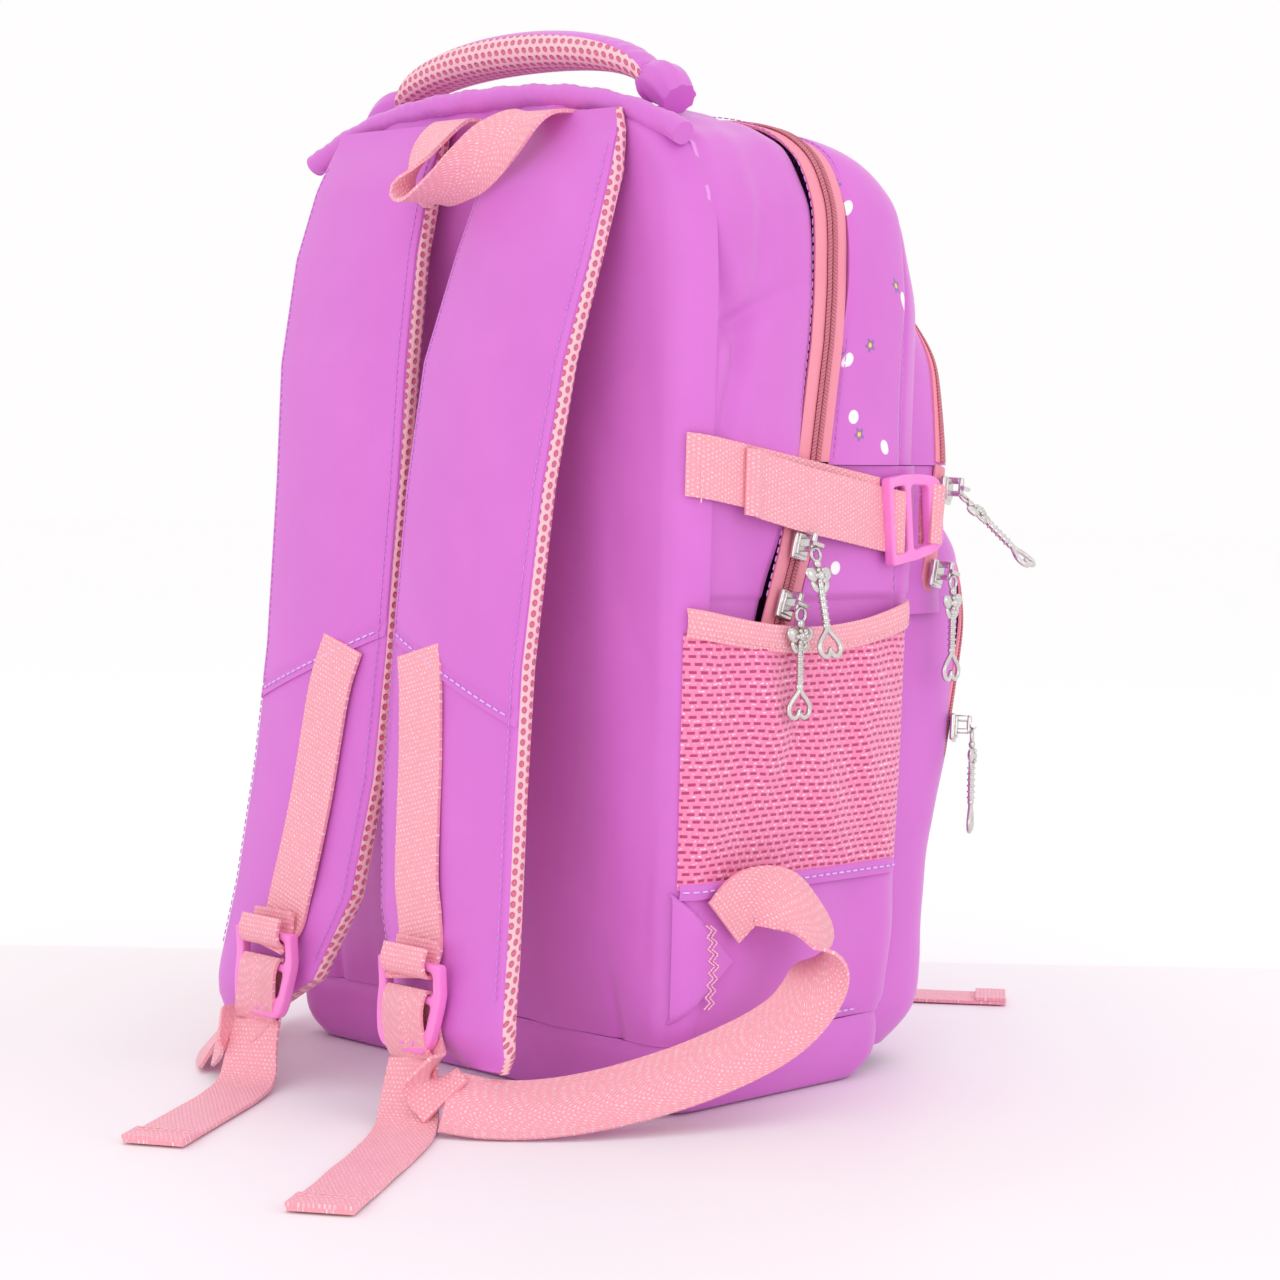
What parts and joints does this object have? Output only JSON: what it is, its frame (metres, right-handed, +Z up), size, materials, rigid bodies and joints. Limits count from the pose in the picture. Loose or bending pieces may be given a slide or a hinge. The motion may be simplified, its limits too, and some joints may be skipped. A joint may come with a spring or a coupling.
{
  "type": "school backpack",
  "caption": "School backpack with padded shoulder straps, grab handle, hanging loop, side mesh pockets, side compression straps and zipped front pockets, standing filled",
  "frame": {"origin": "middle of the flat base under the main compartment, on the surface the bag stands on", "axes": "+Z up, +Y out of the front pockets, -Y towards the wearer's back, +X to the wearer's right"},
  "size_m": [0.3204, 0.5089, 0.439],
  "materials": {
    "orchid_fabric": "satin polyester",
    "pink_webbing": "woven webbing",
    "zip_tape": "zip tape and coil",
    "spacer_mesh": "spacer mesh",
    "pocket_mesh": "knitted mesh",
    "lining": "plain lining",
    "foam": "closed-cell foam",
    "board": "stiffening board",
    "buckle_plastic": "moulded acetal",
    "nickel": "plated zinc alloy"
  },
  "bodies": {
    "bag": {"back_cover": "orchid_fabric", "back_foam": "foam", "back_lining": "lining", "base_panel": "orchid_fabric", "base_board": "board", "rear_gusset": "orchid_fabric", "front_panel": "orchid_fabric", "main_zip_rear_tape": "zip_tape", "upper_pocket_base": "orchid_fabric", "lower_pocket": "orchid_fabric", "upper_pocket_zip_right_end": "zip_tape", "upper_pocket_zip_left_end": "zip_tape", "lower_pocket_zip": "zip_tape", "top_binding": "orchid_fabric", "right_anchor_tab": "orchid_fabric", "left_anchor_tab": "orchid_fabric", "right_lower_webbing": "pink_webbing", "left_lower_webbing": "pink_webbing", "right_compression_strap": "pink_webbing", "left_compression_strap": "pink_webbing", "left_compression_tail": "pink_webbing", "right_mesh_pocket": "pocket_mesh", "left_mesh_pocket": "pocket_mesh", "right_pocket_elastic": "pink_webbing", "left_pocket_elastic": "pink_webbing", "right_handle_end": "orchid_fabric", "left_handle_end": "orchid_fabric"},
    "lid": {"lid_gusset": "orchid_fabric", "lid_front_panel": "orchid_fabric", "main_zip_front_tape": "zip_tape", "upper_pocket_top": "orchid_fabric", "upper_pocket_zip": "zip_tape"},
    "handle": {"grab_handle": "orchid_fabric", "grab_handle_mesh": "spacer_mesh"},
    "loop": {"hanging_loop": "pink_webbing"},
    "right_strap": {"right_strap_mesh": "spacer_mesh", "right_strap_pad": "orchid_fabric", "right_strap_webbing": "pink_webbing", "right_strap_tail": "pink_webbing"},
    "left_strap": {"left_strap_mesh": "spacer_mesh", "left_strap_pad": "orchid_fabric", "left_strap_webbing": "pink_webbing", "left_strap_tail": "pink_webbing"},
    "right_ladder_lock": {"right_strap_buckle": "buckle_plastic"},
    "left_ladder_lock": {"left_strap_buckle": "buckle_plastic"},
    "right_side_lock": {"right_compression_buckle": "buckle_plastic"},
    "left_side_lock": {"left_compression_buckle": "buckle_plastic"},
    "main_upper_slider_body": {"main_upper_slider": "nickel"},
    "main_upper_pull_body": {"main_upper_pull": "nickel"},
    "main_lower_slider_body": {"main_lower_slider": "nickel"},
    "main_lower_pull_body": {"main_lower_pull": "nickel"},
    "upper_pocket_high_slider_body": {"upper_pocket_high_slider": "nickel"},
    "upper_pocket_high_pull_body": {"upper_pocket_high_pull": "nickel"},
    "upper_pocket_low_slider_body": {"upper_pocket_low_slider": "nickel"},
    "upper_pocket_low_pull_body": {"upper_pocket_low_pull": "nickel"},
    "lower_pocket_slider_body": {"lower_pocket_slider": "nickel"},
    "lower_pocket_pull_body": {"lower_pocket_pull": "nickel"}
  },
  "joints": [
    {"name": "lid_fold", "type": "hinge", "parent": "bag", "child": "lid", "pos_m": [0, 0.1315, 0.261], "axis": [-1, 0, 0], "range_deg": [0, 105]},
    {"name": "handle_tilt", "type": "hinge", "parent": "bag", "child": "handle", "pos_m": [0, -0.045, 0.4105], "axis": [1, 0, 0], "range_deg": [-25, 25], "stiffness_Nm_per_rad": 0.05},
    {"name": "loop_lift", "type": "hinge", "parent": "bag", "child": "loop", "pos_m": [0, -0.0706, 0.4004], "axis": [-1, 0, 0], "range_deg": [0, 70]},
    {"name": "right_strap_swing", "type": "hinge", "parent": "bag", "child": "right_strap", "pos_m": [0.05, -0.071, 0.391], "axis": [-1, 0, 0], "range_deg": [0, 60], "deforming": ["hanging_loop", "right_lower_webbing"]},
    {"name": "left_strap_swing", "type": "hinge", "parent": "bag", "child": "left_strap", "pos_m": [-0.05, -0.071, 0.391], "axis": [-1, 0, 0], "range_deg": [0, 60], "deforming": ["left_lower_webbing"]},
    {"name": "right_ladder_lock_tilt", "type": "hinge", "parent": "right_strap", "child": "right_ladder_lock", "pos_m": [0.0465, -0.1423, 0.062], "axis": [-1, 0, 0], "range_deg": [0, 35]},
    {"name": "left_ladder_lock_tilt", "type": "hinge", "parent": "left_strap", "child": "left_ladder_lock", "pos_m": [-0.0465, -0.1423, 0.062], "axis": [-1, 0, 0], "range_deg": [0, 35]},
    {"name": "right_side_lock_tilt", "type": "hinge", "parent": "bag", "child": "right_side_lock", "pos_m": [0.1268, 0.0445, 0.239], "axis": [0, 0, -1], "range_deg": [0, 25]},
    {"name": "left_side_lock_tilt", "type": "hinge", "parent": "bag", "child": "left_side_lock", "pos_m": [-0.1268, 0.0445, 0.239], "axis": [0, 0, 1], "range_deg": [0, 25]},
    {"name": "main_upper_slide", "type": "slide", "parent": "bag", "child": "main_upper_slider_body", "axis": [0.0129, 0.3031, 0.9529], "range_m": [-0.004, 0.002]},
    {"name": "main_upper_pull_swing", "type": "hinge", "parent": "main_upper_slider_body", "child": "main_upper_pull_body", "pos_m": [0.1335, -0.00599, 0.225], "axis": [0, -1, 0], "range_deg": [0, 80]},
    {"name": "main_lower_slide", "type": "slide", "parent": "bag", "child": "main_lower_slider_body", "axis": [0.0128, 0.3162, 0.9486], "range_m": [-0.006, 0.004]},
    {"name": "main_lower_pull_swing", "type": "hinge", "parent": "main_lower_slider_body", "child": "main_lower_pull_body", "pos_m": [0.13318, -0.01383, 0.201], "axis": [0, -1, 0], "range_deg": [0, 20]},
    {"name": "upper_pocket_high_slide", "type": "slide", "parent": "bag", "child": "upper_pocket_high_slider_body", "axis": [-0.0369, 0.166, 0.9854], "range_m": [-0.018, 0.004]},
    {"name": "upper_pocket_high_pull_swing", "type": "hinge", "parent": "upper_pocket_high_slider_body", "child": "upper_pocket_high_pull_body", "pos_m": [0.12258, 0.10203, 0.247], "axis": [0.2685, -0.9633, 0], "range_deg": [-30, 60]},
    {"name": "upper_pocket_low_slide", "type": "slide", "parent": "bag", "child": "upper_pocket_low_slider_body", "axis": [-0.045, 0.2344, 0.9711], "range_m": [-0.002, 0.012]},
    {"name": "upper_pocket_low_pull_swing", "type": "hinge", "parent": "upper_pocket_low_slider_body", "child": "upper_pocket_low_pull_body", "pos_m": [0.12435, 0.09365, 0.211], "axis": [0.169, -0.9856, 0], "range_deg": [0, 100]},
    {"name": "lower_pocket_slide", "type": "slide", "parent": "bag", "child": "lower_pocket_slider_body", "axis": [-0.1022, 0.325, 0.9402], "range_m": [-0.003, 0.015]},
    {"name": "lower_pocket_pull_swing", "type": "hinge", "parent": "lower_pocket_slider_body", "child": "lower_pocket_pull_body", "pos_m": [0.11921, 0.11583, 0.143], "axis": [0.5436, -0.8393, 0], "range_deg": [0, 100]}
  ]
}
